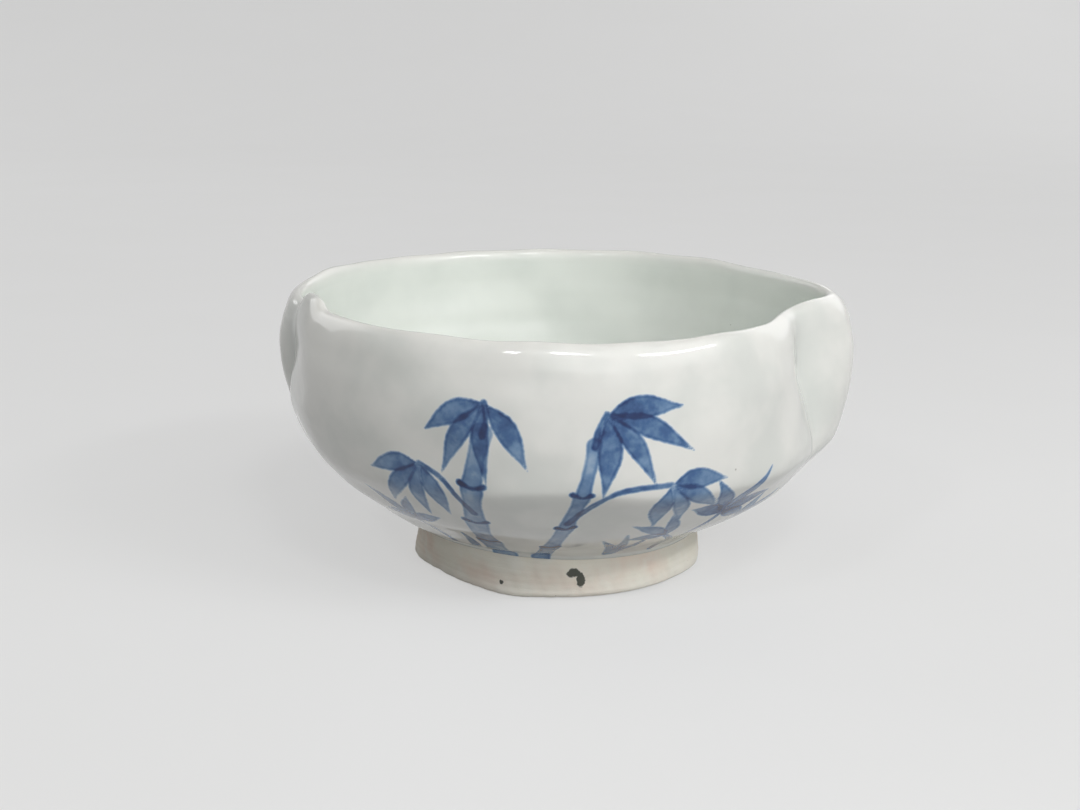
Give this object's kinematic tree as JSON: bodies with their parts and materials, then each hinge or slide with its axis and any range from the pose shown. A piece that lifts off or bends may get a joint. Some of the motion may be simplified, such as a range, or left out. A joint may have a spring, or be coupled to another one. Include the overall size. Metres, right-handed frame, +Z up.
{
  "type": "tea bowl",
  "caption": "Squeezed porcelain tea bowl on a bare luted foot ring, with pleats pinched into its rim and a clear glaze over blue brush painting.",
  "frame": {"origin": "under the middle of the bowl's outline seen from above, on the surface that the foot ring stands on", "axes": "+Z up out of the mouth, the painted side faces -Y, +X to its right, towards the deeper pleat"},
  "size_m": [0.1254, 0.1234, 0.0622],
  "materials": {
    "white_clay": "fired white porcelain clay, bare and matte under the glaze and in the foot's recess",
    "bare_foot_clay": "cream unglazed clay with a pink flush, fine grain and faint knife marks",
    "outer_glaze": "glossy off-white clear glaze with pinholes over washes of blue brush painting",
    "inner_glaze": "glossy liner glaze, slightly greener than the outside"
  },
  "bodies": {
    "root": {"bowl_body": "white_clay", "foot_ring": "bare_foot_clay", "outer_glaze": "outer_glaze", "inner_glaze": "inner_glaze"}
  },
  "joints": []
}
